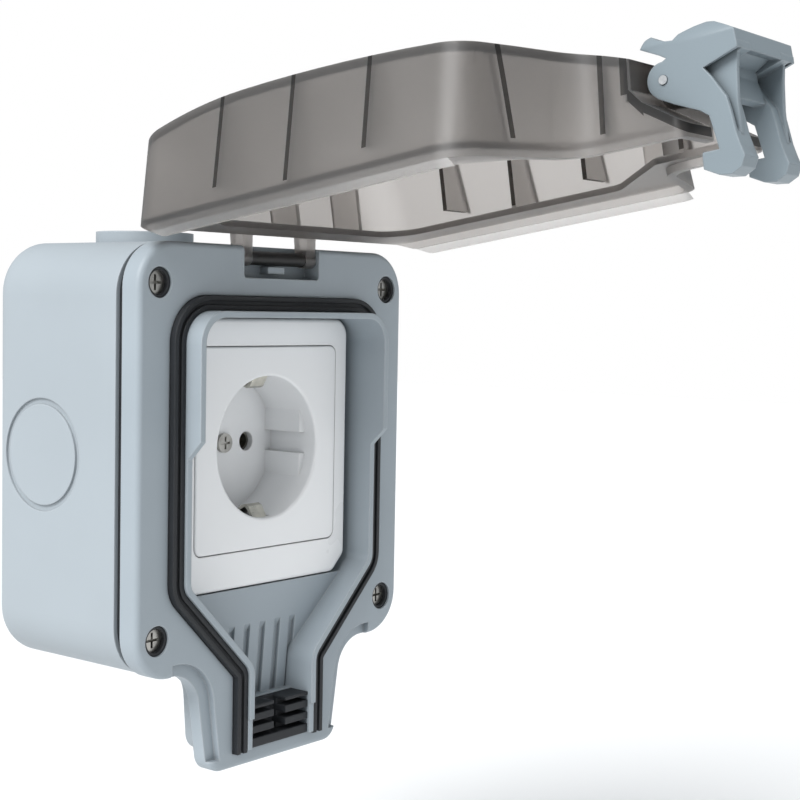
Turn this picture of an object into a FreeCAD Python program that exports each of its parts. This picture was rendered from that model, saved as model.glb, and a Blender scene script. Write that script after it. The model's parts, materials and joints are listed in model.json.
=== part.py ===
import FreeCAD, Part
import math
import os
from types import SimpleNamespace

import Sketcher
from FreeCAD import Placement, Rotation, Vector

# Outdoor weatherproof socket: wall box, front cover with collar, earthed socket, hinged lid and latch.
# X runs to the right, Z up, and the wall face lies at Y = 0, so the front looks along -Y.
# A plane named front is given as its distance from the wall, and q is a distance before the cover's face.

SIZES = {
    "body_width": 105.4,
    "body_height": 112.8,
    "face_depth": 56.8,
    "cover_inset": 0.4,
    "cover_thick": 6.1,
    "cover_corner": 12.0,
    "cover_edge_round": 1.6,
    "parting": 1.8,
    "box_corner": 14.0,
    "box_back_round": 5.0,
    "box_wall": 2.6,
    "gasket_inset": 1.2,
    "gasket_band": 3.4,
    "spout_top_half": 29.5,
    "spout_end_half": 25.0,
    "spout_end": 84.9,
    "spout_corner": 5.0,
    "spout_root_round": 10.0,
    "flange_wide": 3.4,
    "flange_deep": 2.0,
    "flange_top": 51.5,
    "rear_spout_half": 23.5,
    "rear_spout_end_half": 21.5,
    "rear_spout_end": 81.4,
    "rear_spout_depth": 5.6,
    "spout_wall": 2.2,
    "screw_inset_x": 7.6,
    "screw_inset_z": 10.65,
    "screw_head": 3.1,
    "screw_head_high": 2.2,
    "screw_shank": 1.9,
    "screw_reach": 20.0,
    "screw_play": 0.05,
    "post_radius": 5.2,
    "counterbore": 4.0,
    "counterbore_deep": 4.2,
    "seal_ring_high": 3.6,
    "seal_ring_down": 0.6,
    "wall_hole_x": 30.0,
    "wall_hole_z": 36.0,
    "wall_hole": 3.0,
    "knockout_radius": 15.0,
    "knockout_disc": 13.4,
    "knockout_deep": 0.7,
    "entry_deep": 36.8,
    "entry_boss_x": 17.0,
    "entry_boss": 13.5,
    "entry_boss_high": 3.6,
    "collar_half": 37.6,
    "collar_top": 38.8,
    "collar_bend": 33.8,
    "collar_neck_half": 13.3,
    "collar_foot": 68.3,
    "collar_wall": 1.7,
    "collar_corner": 8.6,
    "collar_bend_round": 5.0,
    "collar_high": 7.4,
    "collar_low": 2.7,
    "collar_sill": 2.0,
    "collar_step_top": 5.2,
    "tray_deep": 10.0,
    "tray_floor": 8.0,
    "ramp_top_deep": 4.9,
    "ramp_foot_deep": 7.4,
    "ramp_top": 37.2,
    "flute_pitch": 6.1,
    "flute_wide": 2.4,
    "flute_deep": 1.3,
    "flute_top": 47.6,
    "flute_runout": 2.2,
    "grommet_top": 68.3,
    "grommet_foot": 80.3,
    "seal_foot": 80.8,
    "grommet_deep": 5.2,
    "grommet_proud": 1.2,
    "grommet_slot_half": 2.4,
    "grommet_fin_gap": 1.5,
    "seal_gap": 0.15,
    "seal_wide": 3.75,
    "seal_groove": 1.6,
    "seal_proud": 1.9,
    "seal_ridge": 0.9,
    "hinge_y": 3.1,
    "hinge_drop": 3.2,
    "hinge_recess_half": 15.0,
    "hinge_recess_foot": 47.7,
    "hinge_recess_deep": 5.6,
    "hinge_pin_radius": 1.0,
    "hinge_pin_half": 18.5,
    "pin_play": 0.05,
    "lid_arm_in": 10.8,
    "lid_arm_out": 14.6,
    "lid_eye": 2.2,
    "lid_barrel": 1.9,
    "open_angle": 98.8,
    "window_x": 23.5,
    "window_z": 24.5,
    "socket_z": 1.2,
    "frame_half": 33.4,
    "frame_top": 35.7,
    "frame_foot": 38.2,
    "frame_face_deep": 4.65,
    "frame_corner": 5.0,
    "frame_cut": 5.0,
    "frame_flange": 2.0,
    "plate_half": 27.9,
    "plate_gap": 0.25,
    "plate_proud": 0.3,
    "plate_corner": 2.5,
    "well_radius": 19.75,
    "well_deep": 17.7,
    "well_wall": 2.0,
    "guide_half": 17.3,
    "guide_start": 4.0,
    "guide_groove": 3.0,
    "pin_hole": 2.75,
    "pin_spacing": 19.0,
    "base_half_x": 21.4,
    "base_half_z": 21.9,
    "base_deep": 18.6,
    "sleeve_outer": 3.4,
    "sleeve_bore": 2.42,
    "sleeve_long": 15.0,
    "tail_half": 2.5,
    "tail_long": 7.5,
    "strip_half": 2.7,
    "clip_tip": 11.8,
    "clip_nose": 3.4,
    "clip_rise": 5.8,
    "strip_thick": 0.8,
    "clamp_screw": 1.4,
    "centre_head": 2.75,
    "centre_head_high": 1.2,
    "centre_shank": 1.5,
    "centre_reach": 11.0,
    "frame_screw_x": 25.6,
    "frame_screw_head": 1.9,
    "frame_screw_shank": 1.1,
    "lid_overhang": 1.9,
    "lid_draft": 8.7,
    "lid_above_hinge": 1.3,
    "lid_foot": 49.5,
    "lid_neck_half": 22.0,
    "lid_neck": 59.0,
    "lid_front_neck_half": 18.2,
    "lid_end_half": 19.6,
    "lid_front_end_half": 16.4,
    "lid_rim": 0.4,
    "lid_loft_top": 31.0,
    "lid_corner": 9.0,
    "lid_wall": 2.2,
    "lid_shear_foot": 39.5,
    "lid_shear_rise": 6.2,
    "dome_high": 30.1,
    "dome_apex": 16.0,
    "dome_joint": 47.0,
    "dome_top_round": 125.0,
    "dome_round": 515.0,
    "dome_foot_round": 112.0,
    "lid_skirt_back": 1.6,
    "lid_skirt_wall": 1.3,
    "lid_ledge_thick": 1.7,
    "lid_ledge_in": 1.5,
    "lid_ledge_clear": 0.3,
    "gusset_thick": 1.4,
    "gusset_foot": 7.3,
    "gusset_reach": 6.0,
    "gusset_pitch": 23.3,
    "gusset_first": 22.6,
    "head_gusset_pitch": 26.0,
    "latch_pin_up": 6.4,
    "latch_pin_q": 14.4,
    "latch_pin_radius": 1.0,
    "latch_inner": 7.6,
    "latch_outer": 14.0,
    "latch_crown_round": 4.0,
    "latch_boss": 4.0,
    "latch_gap": 0.4,
    "latch_web": 2.0,
    "latch_blade": 1.1,
    "latch_groove": 1.3,
    "latch_groove_in": 1.0,
    "catch_gap": 0.6,
    "catch_lip": 3.5,
    "catch_high": 3.5,
}

doc = FreeCAD.newDocument("weatherproof_socket")


class Size:
    """A length that carries both its number and the sheet expression that gives it."""

    def __init__(self, number, text=None):
        self.number = float(number)
        self.text = text if text else repr(self.number)

    def __add__(self, other):
        other = as_size(other)
        return Size(self.number + other.number, f"({self.text} + {other.text})")

    def __sub__(self, other):
        other = as_size(other)
        return Size(self.number - other.number, f"({self.text} - {other.text})")

    def __mul__(self, other):
        other = as_size(other)
        return Size(self.number * other.number, f"({self.text} * {other.text})")

    def __truediv__(self, other):
        other = as_size(other)
        return Size(self.number / other.number, f"({self.text} / {other.text})")

    def __neg__(self):
        return Size(-self.number, f"(0 - {self.text})")

    def __radd__(self, other):
        return as_size(other) + self

    def __rsub__(self, other):
        return as_size(other) - self

    def __rmul__(self, other):
        return as_size(other) * self


def as_size(value):
    return value if isinstance(value, Size) else Size(value)


def fill_sheet():
    """Put every driving size in the sheet under its own alias."""
    sheet = doc.addObject("Spreadsheet::Sheet", "Dims")
    for row, (name, number) in enumerate(SIZES.items(), 1):
        sheet.set(f"A{row}", name)
        sheet.set(f"B{row}", str(number))
        sheet.setAlias(f"B{row}", name)
    doc.recompute()
    return SimpleNamespace(**{name: Size(sheet.get(name), f"Dims.{name}") for name in SIZES})


S = fill_sheet()

HALF_TURN_TAN = 0.41421356


def bind(thing, place, size):
    """Set a property and tie it to the sheet where the size comes from there."""
    size = as_size(size)
    if "Dims." in size.text:
        thing.setExpression(place, size.text)
    return size.number


def new_body(name):
    body = doc.addObject("PartDesign::Body", name)
    body.Label = name
    return body


def origin_plane(body, role):
    for feature in body.Origin.OriginFeatures:
        if feature.Role == role:
            return feature
    raise ValueError(role)


def new_sketch(body, name, role, offset):
    sketch = body.newObject("Sketcher::SketchObject", name)
    sketch.AttachmentSupport = [(origin_plane(body, role), "")]
    sketch.MapMode = "FlatFace"
    offset = as_size(offset)
    sketch.AttachmentOffset = Placement(Vector(0, 0, offset.number), Rotation())
    bind(sketch, "AttachmentOffset.Base.z", offset)
    return sketch


def hold_point(sketch, geometry, end, point, tag):
    """Hold one point of a sketch at its two distances from the origin."""
    for axis, size in zip("XY", point):
        size = as_size(size)
        constraint = Sketcher.Constraint(f"Distance{axis}", -1, 1, geometry, end, size.number)
        index = sketch.addConstraint(constraint)
        sketch.renameConstraint(index, f"{tag}{axis}")
        bind(sketch, f"Constraints.{tag}{axis}", size)


def add_polygon(sketch, points):
    corners = [Vector(as_size(a).number, as_size(b).number, 0) for a, b in points]
    first = sketch.GeometryCount
    count = len(corners)
    for i, corner in enumerate(corners):
        sketch.addGeometry(Part.LineSegment(corner, corners[(i + 1) % count]), False)
    for i in range(count):
        follower = first + (i + 1) % count
        sketch.addConstraint(Sketcher.Constraint("Coincident", first + i, 2, follower, 1))
    for i, point in enumerate(points):
        hold_point(sketch, first + i, 1, point, f"p{first + i}")


def add_circle(sketch, centre, radius):
    a, b = (as_size(value) for value in centre)
    radius = as_size(radius)
    circle = Part.Circle(Vector(a.number, b.number, 0), Vector(0, 0, 1), radius.number)
    index = sketch.addGeometry(circle, False)
    hold_point(sketch, index, 3, centre, f"c{index}")
    constraint = sketch.addConstraint(Sketcher.Constraint("Radius", index, radius.number))
    sketch.renameConstraint(constraint, f"r{index}")
    bind(sketch, f"Constraints.r{index}", radius)


def add_rounded_box(sketch, box):
    """Draw a rectangle with four tangent corner arcs, centred on the sketch's upright axis."""
    half, low, high, radius = (as_size(value) for value in (box.half, box.low, box.high, box.radius))
    x, bottom, top, r = half.number, low.number, high.number, radius.number
    first = sketch.GeometryCount
    corners = [(x, bottom), (x, top), (-x, top), (-x, bottom)]
    starts = [Vector(-x + r, bottom), Vector(x, bottom + r), Vector(x - r, top), Vector(-x, top - r)]
    finishes = [Vector(x - r, bottom), Vector(x, top - r), Vector(-x + r, top), Vector(-x, bottom + r)]
    for i, (a, b) in enumerate(corners):
        sketch.addGeometry(Part.LineSegment(starts[i], finishes[i]), False)
        centre = Vector(a - r if a > 0 else a + r, b + r if b == bottom else b - r, 0)
        turn = (i - 1) * math.pi / 2
        circle = Part.Circle(centre, Vector(0, 0, 1), r)
        sketch.addGeometry(Part.ArcOfCircle(circle, turn, turn + math.pi / 2), False)
    for i in range(4):
        line, arc = first + 2 * i, first + 2 * i + 1
        follower = first + (2 * i + 2) % 8
        sketch.addConstraint(Sketcher.Constraint("Tangent", line, 2, arc, 1))
        sketch.addConstraint(Sketcher.Constraint("Tangent", arc, 2, follower, 1))
        sketch.addConstraint(Sketcher.Constraint("Vertical" if i % 2 else "Horizontal", line))
        index = sketch.addConstraint(Sketcher.Constraint("Radius", arc, r))
        sketch.renameConstraint(index, f"corner{arc}")
        bind(sketch, f"Constraints.corner{arc}", radius)
        axis, size = [("Y", low), ("X", half), ("Y", high), ("X", -half)][i]
        index = sketch.addConstraint(Sketcher.Constraint(f"Distance{axis}", -1, 1, line, 1, size.number))
        sketch.renameConstraint(index, f"side{line}")
        bind(sketch, f"Constraints.side{line}", size)


def rounded_box(half, low, high, radius):
    return SimpleNamespace(half=half, low=low, high=high, radius=radius)


def draw(sketch, shapes):
    """Shapes are outlines given as lists of points, circles given as (centre, radius), or rounded boxes."""
    for shape in shapes:
        if isinstance(shape, SimpleNamespace):
            add_rounded_box(sketch, shape)
        elif isinstance(shape, tuple):
            add_circle(sketch, shape[0], shape[1])
        else:
            add_polygon(sketch, shape)
    doc.recompute()


def pad(body, shapes, start, length, role="XZ_Plane", midplane=False):
    """Raise outlines from a plane, by default towards the front."""
    count = len(body.Group)
    sketch = new_sketch(body, f"{body.Label}_sketch{count}", role, start)
    draw(sketch, shapes)
    feature = body.newObject("PartDesign::Pad", f"{body.Label}_pad{count}")
    feature.Profile = sketch
    feature.Length = as_size(length).number
    bind(feature, "Length", length)
    if midplane:
        feature.SideType = "Symmetric"
    doc.recompute()
    return feature


def pocket(body, shapes, start, length, role="XZ_Plane", midplane=False, reverse=False):
    """Cut outlines into the body from a plane, by default towards the wall."""
    before = body.Shape.Volume
    count = len(body.Group)
    sketch = new_sketch(body, f"{body.Label}_sketch{count}", role, start)
    draw(sketch, shapes)
    feature = body.newObject("PartDesign::Pocket", f"{body.Label}_pocket{count}")
    feature.Profile = sketch
    feature.Length = as_size(length).number
    feature.Reversed = reverse
    bind(feature, "Length", length)
    if midplane:
        feature.SideType = "Symmetric"
    doc.recompute()
    if body.Shape.Volume > before - 0.01:
        raise RuntimeError(f"{feature.Label} cuts nothing")
    return feature


def round_edges(body, names, radius, kind="Fillet"):
    if not names:
        raise RuntimeError(f"{body.Label}: no edges to round after {body.Tip.Label}")
    base = body.Tip
    feature = body.newObject(f"PartDesign::{kind}", f"{body.Label}_{kind.lower()}{len(body.Group)}")
    feature.Base = (base, names)
    place = "Radius" if kind == "Fillet" else "Size"
    setattr(feature, place, as_size(radius).number)
    bind(feature, place, radius)
    doc.recompute()
    return feature


def ends(edge):
    return edge.Vertexes[0].Point, edge.Vertexes[-1].Point


def edges_through(body, spots, axis="y"):
    """Names of the straight edges along an axis that pass through the spots, on either side of X = 0."""
    first, second = [letter for letter in "xyz" if letter != axis]
    names = []
    for number, edge in enumerate(body.Shape.Edges, 1):
        a, b = ends(edge)
        if abs(getattr(a, axis) - getattr(b, axis)) < 0.3:
            continue
        if abs(getattr(a, first) - getattr(b, first)) > 0.01 or abs(getattr(a, second) - getattr(b, second)) > 0.01:
            continue
        for spot in spots:
            at_first = as_size(spot[0]).number
            at_second = as_size(spot[1]).number
            here = getattr(a, first)
            here = abs(here) if first == "x" else here
            if abs(here - at_first) < 0.05 and abs(getattr(a, second) - at_second) < 0.05:
                names.append(f"Edge{number}")
                break
    return names


def edges_in_plane(body, y, keep):
    """Names of the edges that lie in one front plane and pass a test on their middle point."""
    names = []
    level = as_size(y).number
    for number, edge in enumerate(body.Shape.Edges, 1):
        box = edge.BoundBox
        if abs(box.YMin - level) < 0.01 and abs(box.YMax - level) < 0.01:
            middle = edge.valueAt((edge.FirstParameter + edge.LastParameter) / 2)
            if keep(middle):
                names.append(f"Edge{number}")
    return names


def mirrored(right):
    """Close a right-hand run of points, from foot to top or top to foot, with its mirror image."""
    left = [(-as_size(a), b) for a, b in reversed(right)]
    return list(right) + left


def box_outline(half_x, low, high):
    return mirrored([(half_x, low), (half_x, high)])


def shape_cut(name, base, tool):
    result = doc.addObject("Part::Cut", name)
    result.Base = base
    result.Tool = tool
    doc.recompute()
    return result


def shape_common(name, first, second):
    result = doc.addObject("Part::Common", name)
    result.Base = first
    result.Tool = second
    doc.recompute()
    return result


def shape_fuse(name, shapes):
    result = doc.addObject("Part::MultiFuse", name)
    result.Shapes = shapes
    doc.recompute()
    return result


def cylinder(name, radius, length, x, y, z, axis="front"):
    """A round rod whose foot stands at a point and which runs to the front or to the right."""
    rod = doc.addObject("Part::Cylinder", name)
    rod.Radius = as_size(radius).number
    rod.Height = as_size(length).number
    bind(rod, "Radius", radius)
    bind(rod, "Height", length)
    turn = {"front": (Vector(1, 0, 0), 90), "right": (Vector(0, 1, 0), 90), "up": (Vector(1, 0, 0), 0)}[axis]
    place = [as_size(value) for value in (x, y, z)]
    rod.Placement = Placement(Vector(*[value.number for value in place]), Rotation(*turn))
    for letter, value in zip("xyz", place):
        bind(rod, f"Placement.Base.{letter}", value)
    doc.recompute()
    return rod


def block(name, x, y, z):
    """A straight block between two limits on each axis."""
    box = doc.addObject("Part::Box", name)
    for letter, side, (low, high) in zip("xyz", ("Length", "Width", "Height"), (x, y, z)):
        low, high = as_size(low), as_size(high)
        size = high - low
        setattr(box, side, size.number)
        bind(box, side, size)
    low = [as_size(limits[0]) for limits in (x, y, z)]
    box.Placement = Placement(Vector(*[value.number for value in low]), Rotation())
    for letter, value in zip("xyz", low):
        bind(box, f"Placement.Base.{letter}", value)
    doc.recompute()
    return box


NODES = []


def keep(thing, name):
    """List a finished sub-part under its node name."""
    thing.Label = name
    NODES.append(thing)
    return thing


face = S.face_depth
half_width = S.body_width / 2
half_height = S.body_height / 2
cover_half = half_width - S.cover_inset
screw_x = half_width - S.screw_inset_x
screw_z = half_height - S.screw_inset_z
entry_y = face - S.entry_deep
hinge_z = half_height - S.hinge_drop
lid_half = cover_half + S.lid_overhang
lid_front_half = lid_half - S.lid_draft
lid_top = hinge_z + S.lid_above_hinge
lid_end = S.spout_end
notch_in = S.latch_inner - S.catch_gap
notch_out = S.latch_outer + S.catch_gap
latch_pin_z = S.spout_end - S.latch_pin_up
ledge_low = face + S.seal_proud + S.lid_ledge_clear
ledge_high = ledge_low + S.lid_ledge_thick
box_front = face - S.cover_thick - S.parting
cover_back = face - S.cover_thick


def band_outline(out, foot, neck_foot=None):
    """The collar's U-shaped outline, moved outwards by a distance and ending at a foot level."""
    shift = HALF_TURN_TAN * as_size(out)
    side = S.collar_half + out
    neck = S.collar_neck_half + out
    bend = -S.collar_bend - shift
    neck_bend = -(S.collar_bend + S.collar_half - S.collar_neck_half) - shift
    return mirrored([(neck, -as_size(foot)), (neck, neck_bend), (side, bend), (side, S.collar_top + out)])


def band_prism(name, out, low, high, foot):
    """A solid on the collar's outline between two planes, given as distances before the face."""
    body = new_body(name)
    points = band_outline(out, foot)
    pad(body, [points], face + low, as_size(high) - low)
    round_edges(body, edges_through(body, [points[3]]), S.collar_corner + out)
    round_edges(body, edges_through(body, [points[2]]), S.collar_bend_round + out)
    round_edges(body, edges_through(body, [points[1]]), S.collar_bend_round - out)
    return body


def spout_outline(inset, root_half, end_half, end, joint):
    """The cable spout below the cover or the box, drawn up to a joint level inside the main slab."""
    return mirrored([
        (end_half - inset, -(end - inset)),
        (root_half - inset, -(half_height - inset)),
        (root_half - inset, -(half_height - joint)),
    ])


def spouted_slab(body, half_x, inset, start, length, corner, spout, root_round):
    """A rounded slab with the spout below it, shared by box, gasket and cover."""
    high = half_height - inset
    root_half, end_half, end = spout
    pad(body, [box_outline(half_x, -high, high)], start, length)
    round_edges(body, edges_through(body, [(half_x, high), (half_x, -high)]), corner)
    pad(body, [spout_outline(inset, root_half, end_half, end, 6.0)], start, length)
    root = edges_through(body, [(root_half - inset, -high)])
    round_edges(body, root, root_round)
    foot = edges_through(body, [(end_half - inset, -(end - inset))])
    round_edges(body, foot, S.spout_corner - inset * 0.5)


def make_back_box():
    """Deep wall box: rounded outside, hollow inside, with screw posts and a rear half of the spout."""
    body = new_body("back_box")
    high = half_height
    pad(body, [box_outline(half_width, -high, high)], 0, box_front)
    round_edges(body, edges_through(body, [(half_width, high), (half_width, -high)]), S.box_corner)
    round_edges(body, edges_in_plane(body, 0, lambda point: True), S.box_back_round)
    rear = box_front - S.rear_spout_depth
    spout = spout_outline(0, S.rear_spout_half, S.rear_spout_end_half, S.rear_spout_end, 6.0)
    pad(body, [spout], rear, S.rear_spout_depth)
    round_edges(body, edges_through(body, [(S.rear_spout_half, -high)]), S.spout_root_round)
    corner = [(S.rear_spout_end_half, -S.rear_spout_end)]
    round_edges(body, edges_through(body, corner), S.spout_corner)

    inner_x = half_width - S.box_wall
    inner_z = high - S.box_wall
    inner_deep = box_front - S.box_wall
    pocket(body, [rounded_box(inner_x, -inner_z, inner_z, S.box_corner - S.box_wall)], box_front, inner_deep)
    spots = [(x, z) for x in (screw_x, -screw_x) for z in (screw_z, -screw_z)]
    for spot in spots:
        pad(body, [(spot, S.post_radius)], S.box_wall / 2, box_front - S.box_wall / 2)
    reach = S.screw_reach - S.cover_thick - S.parting + S.counterbore_deep
    bores = [(spot, S.screw_shank + S.screw_play) for spot in spots]
    pocket(body, bores, box_front, reach)
    holes = [((x, z), S.wall_hole) for x in (S.wall_hole_x, -S.wall_hole_x)
             for z in (S.wall_hole_z, -S.wall_hole_z)]
    pocket(body, holes, S.box_wall + 1, S.box_wall + 2)
    foot = S.rear_spout_end - S.spout_wall
    well = box_outline(S.rear_spout_end_half - S.spout_wall, -foot, -(high + 1.0))
    pocket(body, [well], box_front, S.rear_spout_depth - S.spout_wall)
    passage = box_outline(S.rear_spout_end_half - S.spout_wall, -(high + 1.5), -(inner_z - 1.0))
    pocket(body, [passage], box_front, S.tray_deep - S.cover_thick - S.parting + 0.8)

    ring = [((-entry_y, 0), S.knockout_radius), ((-entry_y, 0), S.knockout_disc)]
    pocket(body, ring, half_width, S.knockout_deep, role="YZ_Plane")
    pocket(body, ring, -half_width, S.knockout_deep, role="YZ_Plane", reverse=True)
    boss = [((-S.entry_boss_x, -entry_y), S.entry_boss)]
    pad(body, boss, high - S.box_wall / 2, S.entry_boss_high + S.box_wall / 2, role="XY_Plane")
    return keep(body, "back_box")


def make_box_gasket():
    """Flat rubber ring in the parting groove, solid across the spout."""
    body = new_body("box_gasket")
    inset = S.gasket_inset
    spout = (S.rear_spout_half, S.rear_spout_end_half, S.rear_spout_end)
    half_x = half_width - inset
    corner = S.box_corner - inset
    spouted_slab(body, half_x, inset, box_front, S.parting, corner, spout, S.spout_root_round + inset)
    inner_x = half_x - S.gasket_band
    inner_z = half_height - inset - S.gasket_band
    pocket(body, [rounded_box(inner_x, -inner_z, inner_z, corner - S.gasket_band)], cover_back, S.parting)
    neck = S.collar_neck_half + 1.2
    wide = S.rear_spout_half - inset - 2.0
    spout_hole = mirrored([(neck, -(S.spout_end - 6.0)), (neck, -57.9), (wide, -51.8), (wide, -50.0)])
    pocket(body, [spout_hole], cover_back, S.parting)
    return keep(body, "box_gasket")


def pit_tool():
    """The hollow inside the collar: insert seat, fluted ramp and grommet seat, as one cutter."""
    prism = band_prism("pit_prism", -S.collar_wall, -S.tray_floor - 1, S.collar_high + 2, S.grommet_foot)
    profile = new_body("pit_profile")
    points = [
        (-(face + S.collar_high + 3), S.collar_top + 5),
        (-(face - S.tray_floor), S.collar_top + 5),
        (-(face - S.tray_floor), -S.ramp_top),
        (-(face - S.ramp_top_deep), -S.ramp_top),
        (-(face - S.ramp_foot_deep), -S.collar_foot),
        (-(face - S.grommet_deep), -S.collar_foot),
        (-(face - S.grommet_deep), -(S.grommet_foot + 5)),
        (-(face + S.collar_high + 3), -(S.grommet_foot + 5)),
    ]
    pad(profile, [points], 0, 4 * S.collar_half, role="YZ_Plane", midplane=True)
    hollow = shape_common("pit_hollow", prism, profile)
    slope = (S.ramp_foot_deep - S.ramp_top_deep) / (S.collar_foot - S.ramp_top)
    top_deep = S.ramp_top_deep + slope * (S.flute_top - S.ramp_top)
    flute = [
        (-(face - S.ramp_top_deep + 1), -S.flute_top),
        (-(face - top_deep), -S.flute_top),
        (-(face - top_deep - S.flute_deep), -(S.flute_top + S.flute_runout)),
        (-(face - S.ramp_foot_deep - S.flute_deep), -S.collar_foot),
        (-(face - S.ramp_top_deep + 1), -S.collar_foot),
    ]
    strips = []
    for step in range(-2, 3):
        body = new_body(f"flute{step + 2}")
        pad(body, [flute], step * S.flute_pitch - S.flute_wide / 2, S.flute_wide, role="YZ_Plane")
        strips.append(body)
    inside = band_prism("flute_limit", -S.collar_wall, -S.tray_deep + 0.5, S.collar_high, S.grommet_foot)
    flutes = shape_common("pit_flutes", shape_fuse("flute_strips", strips), inside)
    return [hollow, flutes]


def make_front_plate():
    """Moulded cover: slab with spout, collar and tray in one piece, with all its recesses."""
    body = new_body("cover_slab")
    spout = (S.spout_top_half, S.spout_end_half, S.spout_end)
    spouted_slab(body, cover_half, 0, cover_back, S.cover_thick, S.cover_corner, spout, S.spout_root_round)
    rim = edges_in_plane(body, -face, lambda point: True)
    round_edges(body, rim, S.cover_edge_round)
    low, high = -(S.spout_end + 1), -(S.spout_end - S.catch_high)
    notches = [
        [(side * notch_in, low), (side * notch_out, low),
         (side * notch_out, high), (side * notch_in, high)] for side in (1, -1)
    ]
    pocket(body, notches, face - S.catch_lip, S.cover_thick)

    collar = band_prism("collar_solid", 0, -S.tray_deep, S.collar_high, S.collar_foot + 3.5)
    sill = band_prism("sill_solid", 0, -S.parting, S.collar_sill, S.grommet_foot)
    front_limit = -(face + S.collar_high + 4)
    trim = new_body("collar_trim")
    steps = [
        (-(face + S.collar_low), -(S.spout_end + 10)),
        (-(face + S.collar_low), S.collar_step_top - S.collar_high + S.collar_low),
        (-(face + S.collar_high), S.collar_step_top),
        (front_limit, S.collar_step_top),
        (front_limit, -(S.spout_end + 10)),
    ]
    pad(trim, [steps], 0, 4 * S.collar_half, role="YZ_Plane", midplane=True)
    collar = shape_cut("collar", collar, trim)
    cover = shape_fuse("cover_solid", [body, collar, sill])
    hollow, flutes = pit_tool()
    cover = shape_cut("cover_with_pit", cover, hollow)

    groove = seal_band("cover_seal_groove", -S.seal_groove, 1, 0)
    tools = [groove, flutes, spout_step()]
    window = new_body("mechanism_window")
    z = S.socket_z
    pad(window, [mirrored([(S.window_x, z - S.window_z), (S.window_x, z + S.window_z)])],
        face - S.tray_deep - 1, S.tray_deep - S.tray_floor + 2)
    tools.append(window)
    for x in (screw_x, -screw_x):
        for z in (screw_z, -screw_z):
            tag = f"{'r' if x.number > 0 else 'l'}{'t' if z.number > 0 else 'b'}"
            seat = face - S.counterbore_deep
            tools.append(cylinder(f"cover_bore_{tag}", S.counterbore, S.counterbore_deep + 1, x, -seat, z))
            hole = S.screw_shank + 0.2
            tools.append(cylinder(f"cover_hole_{tag}", hole, S.cover_thick + 2, x, 1 - cover_back, z))
    recess_foot = S.hinge_recess_foot
    recess = new_body("hinge_recess")
    pad(recess, [box_outline(S.hinge_recess_half, recess_foot, half_height + 2)],
        face - S.hinge_recess_deep, S.hinge_recess_deep + 2)
    round_edges(recess, edges_through(recess, [(S.hinge_recess_half, recess_foot)]), 1.0)
    tools.append(recess)
    reach = S.hinge_pin_half + 0.3
    pin_bore = cylinder("hinge_pin_bore", S.hinge_pin_radius + S.pin_play, 2 * reach,
                        -reach, S.hinge_y - face, hinge_z, "right")
    tools.append(pin_bore)
    for side in (1, -1):
        x = side * S.frame_screw_x
        name = f"frame_screw_hole{side + 1}"
        tools.append(cylinder(name, S.frame_screw_shank + S.screw_play, 6, x, 1 + S.tray_deep - face, S.socket_z))
    cover = shape_cut("cover_cut", cover, shape_fuse("cover_tools", tools))
    stop_top = hinge_z - S.lid_barrel - 0.4
    stop = block("hinge_stop", (-3.2, 3.2), (2.4 - face, S.hinge_recess_deep + 0.2 - face), (stop_top - 1.8, stop_top))
    return keep(shape_fuse("front_plate", [cover, stop]), "front_plate")


def spout_step():
    """Cutter for the low flange that runs round the spout's raised middle."""
    inset = S.flange_wide
    raised = new_body("spout_raised")
    deep = S.flange_deep
    root = (S.spout_top_half, S.spout_end_half, S.spout_end + inset)
    spouted_slab(raised, cover_half, inset, face - deep - 1, deep + 2, S.cover_corner - inset, root,
                 S.spout_root_round + inset)
    reach = S.spout_top_half + S.spout_root_round
    field = block("spout_field", (-reach, reach), (-(face + 1), -(face - deep)),
                  (-(S.spout_end - inset), -S.flange_top))
    return shape_cut("spout_flange", field, raised)


def seal_band(name, low, high, gap):
    """The band round the collar that the seal fills, between two planes before the face."""
    foot = S.seal_foot
    outer = band_prism(f"{name}_outer", S.seal_gap + S.seal_wide + (S.seal_gap - gap), low, high, foot)
    inner = band_prism(f"{name}_inner", as_size(gap), as_size(low) - 1, as_size(high) + 1, foot + 5)
    return shape_cut(name, outer, inner)


def make_lid_seal():
    """Rubber band with two ridges, seated in its groove round the collar."""
    band = seal_band("seal_solid", -S.seal_groove, S.seal_proud, S.seal_gap)
    foot = S.seal_foot
    channel_outer = band_prism("seal_channel_outer", S.seal_gap + S.seal_wide * 0.68,
                               S.seal_proud - S.seal_ridge, S.seal_proud + 1, foot + 2)
    channel_inner = band_prism("seal_channel_inner", S.seal_gap + S.seal_wide * 0.36,
                               S.seal_proud - S.seal_ridge - 1, S.seal_proud + 2, foot + 4)
    channel = shape_cut("seal_channel", channel_outer, channel_inner)
    return keep(shape_cut("lid_seal", band, channel), "lid_seal")


def make_cable_grommet():
    """Slotted rubber block at the foot of the spout, with fins on either side of the slot."""
    body = new_body("cable_grommet")
    half = S.collar_neck_half - S.collar_wall - 0.1
    foot = -S.grommet_foot + 0.1
    top = -S.grommet_top - 0.3
    deep = S.grommet_deep - 0.05
    pad(body, [mirrored([(half, foot), (half, top)])], face - deep, deep + S.grommet_proud)
    front = face + S.grommet_proud
    slot = mirrored([(S.grommet_slot_half, foot + 2.6), (S.grommet_slot_half, top + 1)])
    pocket(body, [slot], front, deep + S.grommet_proud - 1.2)
    for step in range(3):
        low = foot + 2.4 + step * (S.grommet_fin_gap + 1.9)
        groove = [(half + 1, low), (half + 1, low + S.grommet_fin_gap),
                  (-half - 1, low + S.grommet_fin_gap), (-half - 1, low)]
        pocket(body, [groove], front, deep * 0.7)
    return keep(body, "cable_grommet")


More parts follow.
